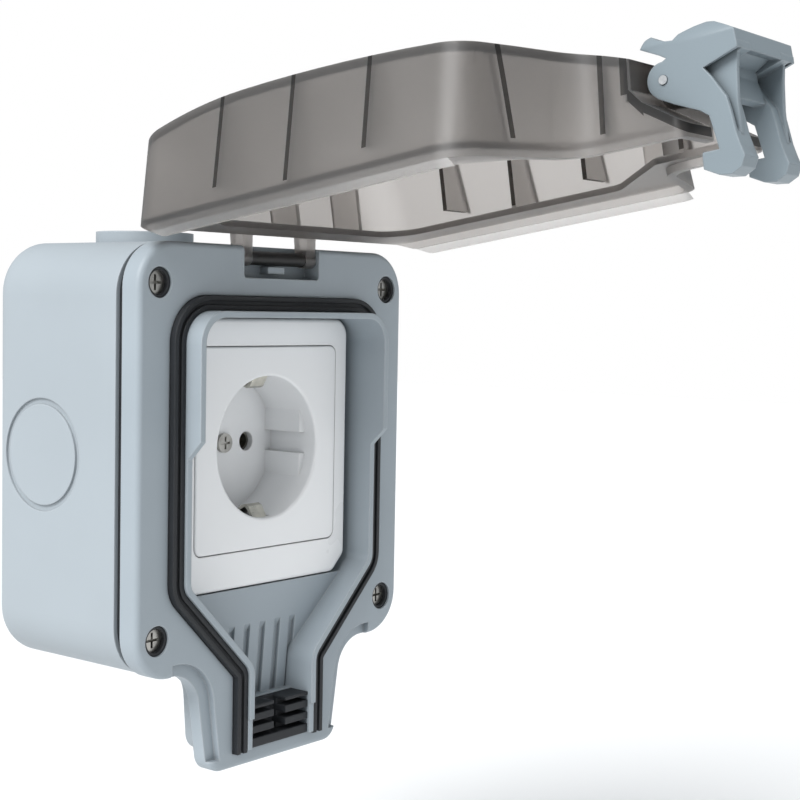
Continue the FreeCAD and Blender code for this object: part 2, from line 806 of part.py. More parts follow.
def cross_screw(name, head, head_high, shank, reach, x, front, z, cross):
    """A screw that looks to the front, with a crossed recess in its head."""
    head_foot = front - head_high
    solid = [
        cylinder(f"{name}_head", head, head_high, x, -head_foot, z),
        cylinder(f"{name}_shank", shank, reach, x, reach - head_foot - S.screw_play, z),
    ]
    body = shape_fuse(f"{name}_solid", solid)
    arm = cross / 2
    thin = 0.35
    deep = head_high * 0.6
    top = -front
    slots = [
        block(f"{name}_slot_a", (x - arm, x + arm), (top - 1, top + deep), (z - thin, z + thin)),
        block(f"{name}_slot_b", (x - thin, x + thin), (top - 1, top + deep), (z - arm, z + arm)),
    ]
    return shape_cut(f"{name}_cut", body, shape_fuse(f"{name}_cross", slots))


def compound(name, links):
    group = doc.addObject("Part::Compound", name)
    group.Links = links
    doc.recompute()
    return keep(group, name)


def make_cover_screws():
    """Four cross-head screws deep in their counterbores, each with a rubber collar."""
    screws = []
    rings = []
    seat = face - S.counterbore_deep
    front = seat + S.screw_head_high
    for x in (screw_x, -screw_x):
        for z in (screw_z, -screw_z):
            tag = f"{'r' if x.number > 0 else 'l'}{'t' if z.number > 0 else 'b'}"
            screws.append(cross_screw(f"cover_screw_{tag}", S.screw_head, S.screw_head_high,
                                      S.screw_shank, S.screw_reach, x, front, z, S.screw_head * 1.3))
            outer = cylinder(f"seal_outer_{tag}", S.counterbore - 0.02, S.seal_ring_high, x, -seat, z)
            inner = cylinder(f"seal_inner_{tag}", S.screw_head + 0.02, S.seal_ring_high + 2, x, 1 - seat, z)
            rings.append(shape_cut(f"seal_ring_{tag}", outer, inner))
    compound("cover_screws", screws)
    compound("screw_seals", rings)


def make_socket_frame():
    """White outer frame that fills the collar and carries the centre plate on a rear flange."""
    body = new_body("socket_frame")
    z = S.socket_z
    back = face - S.tray_floor
    thick = S.tray_floor - S.frame_face_deep
    foot = z - S.frame_foot
    outline = mirrored([
        (S.frame_half - S.frame_cut, foot),
        (S.frame_half, foot + S.frame_cut),
        (S.frame_half, z + S.frame_top),
    ])
    pad(body, [outline], back, thick)
    round_edges(body, edges_through(body, [(S.frame_half, z + S.frame_top)]), S.frame_corner)
    bottom = [(S.frame_half, foot + S.frame_cut), (S.frame_half - S.frame_cut, foot)]
    round_edges(body, edges_through(body, bottom), S.frame_corner * 0.6)
    rim = edges_in_plane(body, -(face - S.frame_face_deep), lambda point: True)
    round_edges(body, rim, 1.2)
    opening = S.plate_half + S.plate_gap
    pocket(body, [mirrored([(opening, z - opening), (opening, z + opening)])],
           face - S.frame_face_deep, thick - S.frame_flange)
    round_edges(body, edges_through(body, [(opening, z - opening), (opening, z + opening)]),
                S.plate_corner + S.plate_gap)
    hole = S.window_x - 1.0
    pocket(body, [mirrored([(hole, z - S.window_z), (hole, z + S.window_z)])], back + S.frame_flange,
           S.frame_flange + 1)
    heads = [((side * S.frame_screw_x, z), S.frame_screw_head + 0.1) for side in (1, -1)]
    pocket(body, heads, back + S.frame_flange, S.frame_flange / 2)
    shanks = [((side * S.frame_screw_x, z), S.frame_screw_shank + S.screw_play) for side in (1, -1)]
    pocket(body, shanks, back + S.frame_flange, S.frame_flange + 1)
    return keep(body, "socket_frame")


well_front = face - S.frame_face_deep + S.plate_proud
well_floor = face - S.frame_face_deep - S.well_deep
base_front = well_floor - S.well_wall


def make_socket_face():
    """White centre plate and round well in one moulding, with side guides and contact openings."""
    body = new_body("socket_face")
    z = S.socket_z
    half = S.plate_half
    plate_back = face - S.tray_floor + S.frame_flange
    pad(body, [mirrored([(half, z - half), (half, z + half)])], plate_back, well_front - plate_back)
    round_edges(body, edges_through(body, [(half, z - half), (half, z + half)]), S.plate_corner)
    rim = edges_in_plane(body, -well_front, lambda point: True)
    round_edges(body, rim, 0.5)
    pad(body, [((0, z), S.well_radius + S.well_wall)], base_front, well_front - 1 - base_front)
    pocket(body, [((0, z), S.well_radius)], well_front, well_front - well_floor)
    mouth = edges_in_plane(body, -well_front, lambda point: abs(point.x) < 21 and abs(point.z) < 22)
    round_edges(body, mouth, 0.7)
    outer = S.well_radius + S.well_wall / 2
    tall = S.well_radius * 0.5
    guides = []
    for side in (1, -1):
        for end in (1, -1):
            guides.append([
                (side * S.guide_half, z + end * S.guide_groove), (side * outer, z + end * S.guide_groove),
                (side * outer, z + end * tall * 0.72), (side * S.guide_half, z + end * tall),
            ])
    guide_long = S.well_deep - S.guide_start
    pad(body, guides, well_floor - S.well_wall / 2, guide_long + S.well_wall / 2)
    spacing = S.pin_spacing / 2
    holes = [((spacing, z), S.pin_hole), ((-spacing, z), S.pin_hole), ((0, z), S.centre_shank + 0.1)]
    pocket(body, holes, well_floor + 1, S.well_wall + 2)
    slot_half = S.strip_half + 0.6
    low, high = S.well_radius - 3, S.well_radius + S.well_wall + 1
    slots = [
        [(slot_half, z + end * low), (slot_half, z + end * high),
         (-slot_half, z + end * high), (-slot_half, z + end * low)] for end in (1, -1)
    ]
    pocket(body, slots, plate_back - 0.6, plate_back - 0.6 - well_floor + 0.4)
    return keep(body, "socket_face")


def make_socket_base():
    """Moulded base behind the well, with bores for the contact sleeves."""
    body = new_body("socket_base")
    z = S.socket_z
    half_x, half_z = S.base_half_x, S.base_half_z
    pad(body, [mirrored([(half_x, z - half_z), (half_x, z + half_z)])], base_front - S.base_deep, S.base_deep)
    round_edges(body, edges_through(body, [(half_x, z - half_z), (half_x, z + half_z)]), 3.0)
    spacing = S.pin_spacing / 2
    bores = [((side * spacing, z), S.sleeve_outer + 0.1) for side in (1, -1)]
    pocket(body, bores, base_front, S.sleeve_long + 0.2)
    tail = S.tail_half + 0.1
    tails = [
        [(side * spacing - tail, z - tail), (side * spacing + tail, z - tail),
         (side * spacing + tail, z + tail), (side * spacing - tail, z + tail)] for side in (1, -1)
    ]
    pocket(body, tails, base_front - 1, S.base_deep)
    pocket(body, [((0, z), S.centre_shank + S.screw_play)], base_front, S.centre_reach)
    return keep(body, "socket_base")


def make_contact(name, side):
    """Round sleeve for a plug pin, with a square tail that carries the clamp screw."""
    body = new_body(name)
    x = side * S.pin_spacing / 2
    z = S.socket_z
    sleeve_front = base_front - 0.2
    sleeve_back = sleeve_front - S.sleeve_long
    pad(body, [((x, z), S.sleeve_outer)], sleeve_back, S.sleeve_long)
    pocket(body, [((x, z), S.sleeve_bore)], sleeve_front, S.sleeve_long - 1.2)
    tail = S.tail_half
    square = [(x - tail, z - tail), (x + tail, z - tail), (x + tail, z + tail), (x - tail, z + tail)]
    pad(body, [square], sleeve_back - S.tail_long, S.tail_long)
    hole = [((x, -(sleeve_back - S.tail_long + 2)), S.clamp_screw + S.screw_play)]
    pocket(body, hole, z + tail + 1, 2 * tail + 2, role="XY_Plane")
    return keep(body, name)


def make_earth_clip():
    """Bent strip that reaches round the base and shows a tip at the top and bottom of the well."""
    body = new_body("earth_clip")
    z = S.socket_z
    thick = S.strip_thick
    inner = S.base_half_z + 0.1
    back = base_front - S.base_deep - 0.05
    bend = well_floor + 2.0
    tip = well_floor + S.clip_tip
    nose = tip + S.clip_nose
    rise = S.clip_rise
    inside = [
        (-nose, z + inner - 1.6), (-(tip + 1.2), z + inner - rise + 0.5), (-tip, z + inner - rise),
        (-(tip - 1.4), z + inner - rise + 0.4), (-bend, z + inner), (-back, z + inner),
    ]
    outside = [
        (-nose + thick * 0.5, z + inner - 0.8), (-(tip + 0.6), z + inner - rise + 0.5 + thick),
        (-tip, z + inner - rise + thick), (-(tip - 1.0), z + inner - rise + 0.4 + thick),
        (-bend, z + inner + thick), (-back + thick, z + inner + thick),
    ]
    lower_in = [(a, 2 * z - b) for a, b in reversed(inside)]
    lower_out = [(a, 2 * z - b) for a, b in outside]
    outline = inside + lower_in + lower_out + list(reversed(outside))
    pad(body, [outline], 0, 2 * S.strip_half, role="YZ_Plane", midplane=True)
    hole = [((0, z + inner * 0.62), S.clamp_screw + S.screw_play)]
    pocket(body, hole, back + 1, thick + 2)
    return keep(body, "earth_clip")


def make_screws_inside():
    """Small screws that hold the socket together and clamp its wires."""
    z = S.socket_z
    head_front = well_floor + S.centre_head_high
    centre = cross_screw("centre_screw_part", S.centre_head, S.centre_head_high, S.centre_shank,
                         S.centre_reach, Size(0), head_front, z, S.centre_head * 1.3)
    keep(centre, "centre_screw")
    sleeve_back = base_front - 0.2 - S.sleeve_long
    y = -(sleeve_back - S.tail_long + 2)
    clamps = []
    for side in (1, -1):
        x = side * S.pin_spacing / 2
        foot = z - S.tail_half
        shank = cylinder(f"clamp_shank{side + 1}", S.clamp_screw, 2 * S.tail_half + 0.5, x, y, foot, "up")
        head = cylinder(f"clamp_head{side + 1}", S.clamp_screw * 1.35, 1.4, x, y, foot + 2 * S.tail_half + 0.05, "up")
        clamps.append(shape_fuse(f"clamp{side + 1}", [shank, head]))
    back = base_front - S.base_deep - 0.05
    height = z + (S.base_half_z + 0.1) * 0.62
    earth_y = S.strip_thick - back + 0.05
    shank = cylinder("earth_shank", S.clamp_screw, S.strip_thick + 0.05, Size(0), earth_y, height)
    head = cylinder("earth_head", S.clamp_screw * 1.6, 1.4, Size(0), earth_y + 1.4, height)
    clamps.append(shape_fuse("earth_clamp", [shank, head]))
    compound("terminal_screws", clamps)
    held = []
    seat = face - S.tray_floor + S.frame_flange / 2
    for side in (1, -1):
        held.append(cross_screw(f"frame_screw{side + 1}", S.frame_screw_head, Size(0.9), S.frame_screw_shank,
                                S.tray_deep - S.tray_floor + S.frame_flange, side * S.frame_screw_x, seat + 0.95, z, 2.4))
    compound("frame_screws", held)


hinge_front = face - S.hinge_y
latch_front = face + S.latch_pin_q


def lid_points(inset, front):
    """Half of the lid's outline at its rim or at its front, moved inwards by a wall."""
    if front:
        side, neck, end = lid_front_half, S.lid_front_neck_half, S.lid_front_end_half
    else:
        side, neck, end = lid_half, S.lid_neck_half, S.lid_end_half
    lower = 0.6 if front else 0.0
    return [
        (end - inset, -(lid_end - inset)),
        (neck - inset, -(S.lid_neck - inset * 0.6 + lower)),
        (side - inset, -(S.lid_foot - inset - lower)),
        (side - inset, lid_top + lower - inset),
    ]


def lid_profile(name, inset):
    """The lid seen from the side: three tangent arcs make a gentle dome that falls towards the latch."""
    body = new_body(name)
    sketch = new_sketch(body, f"{name}_sketch", "YZ_Plane", 0)
    radii = [S.dome_top_round - inset, S.dome_round - inset, S.dome_foot_round - inset]
    apex_z, joint_z, top, foot = S.dome_apex, -S.dome_joint, lid_top + 15, -(lid_end + 15)
    crest = -(face + S.dome_high)
    sine = (S.dome_apex.number + S.dome_joint.number) / S.dome_round.number
    cosine = math.sqrt(1 - sine * sine)
    centres = [Vector(crest.number + S.dome_top_round.number, apex_z.number)]
    centres.append(Vector(crest.number + S.dome_round.number, apex_z.number))
    step = S.dome_round.number - S.dome_foot_round.number
    centres.append(centres[1] + Vector(-step * cosine, -step * sine))
    turns = [
        math.pi - math.asin((top.number - apex_z.number) / radii[0].number),
        math.pi,
        math.pi + math.asin(sine),
        math.pi + math.asin((centres[2].y - foot.number) / radii[2].number),
    ]
    for i, centre in enumerate(centres):
        circle = Part.Circle(centre, Vector(0, 0, 1), radii[i].number)
        sketch.addGeometry(Part.ArcOfCircle(circle, turns[i], turns[i + 1]), False)
    arcs = sketch.Geometry
    back = -(face - 5)
    low_back, high_back = Vector(back.number, foot.number), Vector(back.number, top.number)
    sketch.addGeometry(Part.LineSegment(arcs[2].EndPoint, low_back), False)
    sketch.addGeometry(Part.LineSegment(low_back, high_back), False)
    sketch.addGeometry(Part.LineSegment(high_back, arcs[0].StartPoint), False)
    for first, second in ((0, 1), (1, 2)):
        sketch.addConstraint(Sketcher.Constraint("Tangent", first, 2, second, 1))
    for first, second in ((2, 3), (3, 4), (4, 5), (5, 0)):
        sketch.addConstraint(Sketcher.Constraint("Coincident", first, 2, second, 1))
    for line in (3, 5):
        sketch.addConstraint(Sketcher.Constraint("Horizontal", line))
    for arc, radius in enumerate(radii):
        index = sketch.addConstraint(Sketcher.Constraint("Radius", arc, radius.number))
        sketch.renameConstraint(index, f"arc{arc}")
        bind(sketch, f"Constraints.arc{arc}", radius)
    held = [
        ("X", 0, 3, crest + S.dome_top_round, "centre_x"), ("Y", 0, 3, apex_z, "centre_z"),
        ("Y", 0, 2, apex_z, "apex"), ("Y", 1, 2, joint_z, "joint"), ("Y", 0, 1, top, "top"),
        ("Y", 2, 2, foot, "foot"), ("X", 4, 1, back, "back_low"), ("X", 4, 2, back, "back_high"),
    ]
    for axis, geometry, end, size, tag in held:
        index = sketch.addConstraint(Sketcher.Constraint(f"Distance{axis}", -1, 1, geometry, end, size.number))
        sketch.renameConstraint(index, tag)
        bind(sketch, f"Constraints.{tag}", size)
    doc.recompute()
    feature = body.newObject("PartDesign::Pad", f"{name}_pad")
    feature.Profile = sketch
    feature.SideType = "Symmetric"
    feature.Length = 4 * lid_half.number
    bind(feature, "Length", 4 * lid_half)
    doc.recompute()
    return body


def lid_form(name, inset, rim):
    """The lid's closed outer or inner form: a drafted loft met with the side profile."""
    body = new_body(name)
    sections = []
    for front, level in ((False, rim), (True, S.lid_loft_top)):
        sketch = new_sketch(body, f"{name}_section{int(front)}", "XZ_Plane", face + level)
        draw(sketch, [mirrored(lid_points(inset, front))])
        sections.append(sketch)
    loft = body.newObject("PartDesign::AdditiveLoft", f"{name}_loft")
    loft.Profile = sections[0]
    loft.Sections = [sections[1]]
    loft.Ruled = True
    doc.recompute()
    radii = [3.0 - inset, S.lid_corner + inset * 0.6, S.lid_corner - inset, S.lid_corner + 1.5 - inset]
    for corner, radius in zip(lid_points(inset, False), radii):
        round_edges(body, lid_corner_edges(body, corner), radius)
    return shape_common(f"{name}_domed", body, lid_profile(f"{name}_profile", inset))


def lid_corner_edges(body, corner):
    """The two edges that run from one corner of the rim's outline to the front."""
    x, z = (as_size(value).number for value in corner)
    names = []
    for number, edge in enumerate(body.Shape.Edges, 1):
        a, b = ends(edge)
        rim = a if a.y > b.y else b
        if abs(a.y - b.y) > 5 and abs(abs(rim.x) - x) < 1 and abs(rim.z - z) < 1:
            names.append(f"Edge{number}")
    return names


def spin_to_open(thing):
    """Turn a finished piece of the lid about the hinge from its closed to its open place."""
    centre = Vector(0, -hinge_front.number, hinge_z.number)
    turn = Rotation(Vector(1, 0, 0), -S.open_angle.number)
    thing.Placement = Placement(Vector(0, 0, 0), turn, centre)
    doc.recompute()
    return thing


def span(side, near, far):
    """Limits from left to right of something that lies on one side of X = 0."""
    return (near, far) if side > 0 else (-as_size(far), -as_size(near))


def span_blocks(name, spans, y, z):
    return [block(f"{name}{i}", span, y, z) for i, span in enumerate(spans)]


def make_lid():
    """Translucent cover: drafted shell, seal ledge, gussets, hinge arms and latch pockets."""
    outer = lid_form("lid_outer", Size(0), -S.lid_skirt_back)
    inner = lid_form("lid_inner", S.lid_wall, -S.lid_skirt_back - 1)
    shell = shape_cut("lid_shell", outer, inner)
    inside = shape_common("lid_inside", inner, shape_fuse("lid_inside_pieces", lid_inner_pieces()))
    trimmed = shape_cut("lid_trimmed", shape_fuse("lid_moulded", [shell, inside]),
                        shape_fuse("lid_rim_cutters", [lid_rebate(), lid_shear()]))

    arms = [lid_arm("lid_arm_right", 1), lid_arm("lid_arm_left", -1)]
    barrel = cylinder("lid_barrel", S.lid_barrel, 2 * S.lid_arm_in + 1, -S.lid_arm_in - 0.5, -hinge_front,
                      hinge_z, "right")
    whole = shape_fuse("lid_whole", [trimmed, barrel] + arms)
    cutters = [cylinder("lid_pin_bore", S.hinge_pin_radius + S.pin_play, 4 * S.lid_arm_out,
                        -2 * S.lid_arm_out, -hinge_front, hinge_z, "right")]
    cutters += latch_pockets()
    lid = shape_cut("lid", whole, shape_fuse("lid_cutters", cutters))
    return keep(spin_to_open(lid), "lid")


def lid_inner_pieces():
    """What the lid carries inside: seal ledge, gussets and the solid round the latch."""
    wide = lid_half + 5
    slab = block("lid_ledge_slab", (-wide, wide), (-ledge_high, -ledge_low), (-(lid_end + 5), lid_top + 5))
    opening = band_prism("lid_ledge_opening", S.lid_ledge_in, 0, S.dome_high, lid_end + 10)
    pieces = [shape_cut("lid_ledge", slab, opening)]

    rise = S.lid_shear_rise / (lid_top - S.lid_shear_foot)
    turn = S.lid_shear_foot + (S.lid_skirt_back + S.seal_proud + S.lid_ledge_clear) / rise
    slant = new_body("lid_slant")
    far = lid_top + 2
    climb = rise * (far - turn)
    strip = [(-ledge_low, turn), (-(ledge_low + climb), far), (-(ledge_high + climb), far), (-ledge_high, turn)]
    pad(slant, [strip], 0, 2 * wide, role="YZ_Plane", midplane=True)
    pieces.append(slant)

    crest = -(face + S.dome_high)
    seated = (crest, -(ledge_high - 0.3))
    lifted = (crest, -(face + S.gusset_foot))
    reach_in = lid_front_half - S.gusset_reach
    half = S.gusset_thick / 2
    for side in (1, -1):
        for step in range(3):
            z = S.gusset_first - step * S.gusset_pitch
            depth = seated if step == 1 else lifted
            pieces.append(block(f"gusset{side + 1}{step}", span(side, reach_in, lid_half), depth, (z - half, z + half)))
        x = span(side, S.lid_front_neck_half - 3.5, S.lid_neck_half)
        z = -(S.lid_neck + 7.0)
        pieces.append(block(f"neck_gusset{side + 1}", x, seated, (z - half, z + half)))
        x = S.collar_half + 0.2
        foot = -(S.lid_foot + 10.5)
        pieces.append(block(f"foot_gusset{side + 1}", span(side, x - half, x + half), seated,
                            (foot, -(S.lid_foot - 6.0))))
    for number in range(3):
        x = (number - 1) * S.head_gusset_pitch
        pieces.append(block(f"head_gusset{number}", (x - half, x + half), seated, (S.collar_top + 4.2, lid_top + 5)))
    latch_fill = new_body("latch_fill")
    fill = [
        (-(face + 10.8), -(lid_end - 14.0)), (-(face + 1.6), -lid_end), (-(face + 1.6), -(lid_end + 5)),
        (crest, -(lid_end + 5)), (crest, -(lid_end - 14.0)),
    ]
    pad(latch_fill, [fill], 0, 2 * lid_half, role="YZ_Plane", midplane=True)
    pieces.append(latch_fill)
    return pieces


def lid_rebate():
    """Cutter on the cover's outline, so that the lid's rim clears its face and its edge."""
    gap = S.lid_overhang - S.lid_skirt_wall
    body = new_body("lid_rebate")
    spout = (S.spout_top_half, S.spout_end_half, S.spout_end)
    reach = S.lid_skirt_back + S.lid_rim + 2
    spouted_slab(body, cover_half + gap, -gap, face - S.lid_skirt_back - 2, reach, S.cover_corner + gap, spout,
                 S.spout_root_round - gap)
    return body


def lid_shear():
    """Cutter that lifts the rim at the hinge end, so that it clears the cover's top when open."""
    body = new_body("lid_shear")
    start = face - S.lid_skirt_back
    rise = S.lid_shear_rise / (lid_top - S.lid_shear_foot)
    before, beyond = S.lid_shear_foot - 3, lid_top + 3
    profile = [
        (-(start - 3 * rise), before), (-(start + S.lid_shear_rise + 3 * rise), beyond),
        (-(start - 5), beyond), (-(start - 5), before),
    ]
    pad(body, [profile], 0, 3 * lid_half, role="YZ_Plane", midplane=True)
    return body


def lid_arm(name, side):
    """One hinge arm, from the eye round the pin up to the lid's slanted end."""
    body = new_body(name)
    eye = S.lid_eye
    y = -hinge_front
    z = hinge_z
    start = S.lid_arm_in if side > 0 else -S.lid_arm_out
    wide = S.lid_arm_out - S.lid_arm_in
    pad(body, [((y, z), eye)], start, wide, role="YZ_Plane")
    lift = S.lid_shear_rise - S.lid_skirt_back
    strap = [
        (y - eye * 0.2, z + eye * 0.97), (y + eye * 0.6, z - eye * 0.8), (-(face + lift - 1.4), lid_top - 4.3),
        (-(face + lift + 0.8), lid_top - 3.9), (-(face + lift + 1.4), lid_top + 0.4),
    ]
    pad(body, [strap], start, wide, role="YZ_Plane")
    return body


def latch_pockets():
    """Cutters for the two open pockets beside the latch boss and for the cable exit between them."""
    clear = S.latch_boss + 1.4
    pin_y = -latch_front
    pin_z = -latch_pin_z
    side_cut = new_body("latch_pocket_profile")
    floor = [
        (pin_y - 1.5, pin_z + clear), (pin_y + 1.5, pin_z + clear), (-(face + 9.6), -(lid_end - 9.4)),
        (-(face + 3.4), -lid_end),
        (-(face + 3.4), -(lid_end + 10)), (-(face + 40), -(lid_end + 10)), (-(face + 40), pin_z + clear),
    ]
    pad(side_cut, [floor], 0, 60.0, role="YZ_Plane", midplane=True)
    cheeks = span_blocks("latch_cheek", [
        (S.latch_inner - S.latch_gap, 30.0), (-30.0, -(S.latch_inner - S.latch_gap))],
        (-(face + 40), -(face + 0.2)), (-(lid_end + 10), -(lid_end - 15)))
    pockets = shape_common("latch_pockets", side_cut, shape_fuse("latch_cheeks", cheeks))
    under = block("latch_boss_under", (-6.0, 6.0), (-(face + 9.0), -(face - 1)), (-(lid_end + 10), -(lid_end - 11)))
    bore = cylinder("latch_lid_bore", S.latch_pin_radius + S.pin_play, 60.0, -30.0, pin_y, pin_z, "right")
    return [pockets, under, bore]


def latch_arm(name, side):
    """One hooked arm of the latch, with the thin blade that stiffens its waist."""
    body = new_body(name)
    wide = S.latch_outer - S.latch_inner
    start = S.latch_inner if side > 0 else -S.latch_outer

    def at(q, below):
        return (-(face + q), -(lid_end + below))

    pin_y = -latch_front
    pin_z = -latch_pin_z
    arm = [
        at(10.8, -8.5), at(8.6, -4.4), at(6.0, 1.4), at(4.5, 3.4), at(1.5, 4.0), at(-3.0, 4.9),
        at(-3.0, 1.0), at(-3.6, 0.8), at(-6.6, 0.8), at(-8.4, 4.2), at(-8.8, 7.1), at(-7.6, 9.6),
        at(-5.4, 10.6), at(-3.1, 9.9), at(-0.4, 9.2), at(5.0, 8.4), at(7.8, 7.8), at(10.1, 6.4),
        at(12.5, 5.0), at(14.9, 3.2), at(17.5, 11.5), at(19.0, 11.5), at(21.0, 5.1), at(21.5, -1.4),
        at(19.5, -4.1), at(18.0, -7.1),
    ]
    pad(body, [arm], start, wide, role="YZ_Plane")
    pad(body, [((pin_y, pin_z), S.latch_boss)], start, wide, role="YZ_Plane")
    groove = [
        at(17.5, 12.5), at(19.0, 9.5), at(16.2, 0.0), at(9.0, 3.0), at(4.0, 5.8), at(-0.4, 9.4),
        at(0, 12), at(12, 12),
    ]
    cut_start = S.latch_outer - S.latch_groove_in - S.latch_groove
    cut = new_body(f"{name}_groove")
    pad(cut, [groove], cut_start if side > 0 else -(cut_start + S.latch_groove), S.latch_groove, role="YZ_Plane")
    blade = [
        at(18.4, 10.5), at(13.1, 9.8), at(6.9, 9.3), at(-0.4, 9.3), at(-0.4, 6), at(10, 3), at(14, 1.5),
        at(17.5, 6),
    ]
    rib = new_body(f"{name}_blade")
    blade_start = cut_start - S.latch_blade
    pad(rib, [blade], blade_start if side > 0 else -cut_start, S.latch_blade, role="YZ_Plane")
    return shape_fuse(f"{name}_whole", [shape_cut(f"{name}_grooved", body, cut), rib])


def make_latch():
    """Snap lever: two hooked arms, a crowned top with a ribbed finger tab, and a web between the arms."""
    def at(q, below):
        return (-(face + q), -(lid_end + below))

    top = new_body("latch_top")
    crown = [
        at(22.2, -11.4), at(24.2, -10.5), at(24.9, -9.5), at(23.5, -7.5), at(22.7, -5.4), at(22.4, -3.4),
        at(23.5, -2.1), at(24.5, 1.3), at(25.0, 3.9), at(24.4, 6.2), at(22.9, 9.0), at(21.6, 11.2),
        at(17.5, 11.5), at(18.4, 7.1), at(19.9, 3.1), at(20.0, -0.9), at(18.3, -4.4), at(19.8, -6.7),
    ]
    pad(top, [crown], 0, 2 * S.latch_outer, role="YZ_Plane", midplane=True)
    web = new_body("latch_web")
    wall = [at(20.5, 1.5), at(20.0, 5.0), at(14.0, 5.1), at(8.6, 6.6), at(8.6, 3.6), at(14.0, 2.7)]
    pad(web, [wall], 0, 2 * S.latch_inner + 1, role="YZ_Plane", midplane=True)
    arms = [latch_arm("latch_arm_right", 1), latch_arm("latch_arm_left", -1)]
    solid = shape_fuse("latch_solid", [top, web] + arms)
    limit = new_body("latch_crown_limit")
    crown_box = rounded_box(S.latch_outer, -(face + 25.3), -(face - 20), S.latch_crown_round)
    pad(limit, [crown_box], -(lid_end + 25), 60.0, role="XY_Plane")
    solid = shape_common("latch_crowned", solid, limit)
    bore = cylinder("latch_bore", S.latch_pin_radius + S.pin_play, 60.0, -30.0, -latch_front,
                    -latch_pin_z, "right")
    keep(spin_to_open(shape_cut("latch", solid, bore)), "latch")
    pin = cylinder("latch_pin_rod", S.latch_pin_radius, 2 * S.latch_outer + 0.8, -S.latch_outer - 0.4,
                   -latch_front, -latch_pin_z, "right")
    keep(spin_to_open(shape_fuse_one("latch_pin", pin)), "latch_pin")


def shape_fuse_one(name, thing):
    """A compound of one piece, so that it can be turned as a whole."""
    group = doc.addObject("Part::Compound", name)
    group.Links = [thing]
    doc.recompute()
    return group


def make_hinge_pin():
    pin = cylinder("hinge_pin", S.hinge_pin_radius, 2 * S.hinge_pin_half, -S.hinge_pin_half, -hinge_front,
                   hinge_z, "right")
    return keep(pin, "hinge_pin")


def check_and_write():
    """Stop on any failed feature, then write each sub-part to its own file."""
    doc.recompute()
    bad = [thing.Label for thing in doc.Objects if "Invalid" in thing.State or "Error" in thing.State]
    if bad:
        raise RuntimeError(f"failed: {bad}")
    for thing in NODES:
        shape = thing.Shape
        if shape.isNull() or not shape.isValid():
            raise RuntimeError(f"bad shape: {thing.Label}")
    os.makedirs("parts", exist_ok=True)
    for thing in NODES:
        thing.Shape.exportStep(f"parts/{thing.Label}.step")
        box = thing.Shape.BoundBox
        print(thing.Label, len(thing.Shape.Solids), "solids", round(thing.Shape.Volume),
              [round(value, 1) for value in (box.XMin, box.XMax, box.YMin, box.YMax, box.ZMin, box.ZMax)])


make_back_box()
make_box_gasket()
make_front_plate()
make_lid_seal()
make_cable_grommet()
make_cover_screws()
make_socket_frame()
make_socket_face()
make_socket_base()
make_contact("live_contact", -1)
make_contact("neutral_contact", 1)
make_earth_clip()
make_screws_inside()
make_hinge_pin()
make_lid()
make_latch()
check_and_write()
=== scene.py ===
"""Looks for an outdoor weatherproof socket with an open smoky lid and a snap latch.

Lengths are in metres, or in millimetres where a name ends in MM. Places on the lid and the latch are
given as they stand when shut, and the angle about the hinge turns them to the open rest pose.
"""
import json
import math

import bpy
from mathutils import Matrix, Vector


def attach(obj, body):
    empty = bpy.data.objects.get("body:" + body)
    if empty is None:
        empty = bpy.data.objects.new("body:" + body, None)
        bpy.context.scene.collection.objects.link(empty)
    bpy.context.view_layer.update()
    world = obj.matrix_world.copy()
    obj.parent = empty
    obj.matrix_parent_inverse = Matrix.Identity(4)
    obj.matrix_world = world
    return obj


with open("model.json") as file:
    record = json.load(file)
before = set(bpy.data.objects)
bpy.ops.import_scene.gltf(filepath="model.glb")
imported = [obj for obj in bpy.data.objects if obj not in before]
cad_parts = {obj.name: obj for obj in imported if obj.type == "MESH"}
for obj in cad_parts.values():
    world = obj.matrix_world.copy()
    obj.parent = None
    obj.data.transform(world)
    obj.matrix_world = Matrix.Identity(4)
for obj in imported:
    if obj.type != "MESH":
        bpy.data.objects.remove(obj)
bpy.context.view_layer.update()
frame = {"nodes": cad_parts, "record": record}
MM = 0.001
FACE_Y, HINGE_Y, HINGE_Z, SPOUT_END = -0.0568, -0.0537, 0.0532, 0.0849
OPEN_ANGLE = math.radians(98.8)


# Camera: the photograph's place, turn and lens

YAW, PITCH, ROLL = math.radians(51.483), math.radians(-3.305), math.radians(1.042)
CAMERA_PLACE_MM = (-318.73, -352.39, 40.14)
SENSOR_MM, LENS_MM = 36.0, 70.97
CLIP_START, CLIP_END = 0.01, 20.0


def add_camera():
    """The camera that took the photograph."""
    flat = math.cos(PITCH)
    ahead = Vector((math.sin(YAW) * flat, math.cos(YAW) * flat, math.sin(PITCH)))
    level = Vector((math.cos(YAW), -math.sin(YAW), 0.0))
    above = level.cross(ahead)
    right = math.cos(ROLL) * level + math.sin(ROLL) * above
    up = -math.sin(ROLL) * level + math.cos(ROLL) * above
    place = Matrix((right, up, -ahead)).transposed().to_4x4()
    place.translation = Vector(CAMERA_PLACE_MM) * MM
    bpy.ops.object.camera_add()
    camera = bpy.context.object
    camera.name = "camera"
    camera.matrix_world = place
    camera.data.sensor_width = SENSOR_MM
    camera.data.lens = LENS_MM
    camera.data.clip_start = CLIP_START
    camera.data.clip_end = CLIP_END
    bpy.context.scene.camera = camera


# Node trees

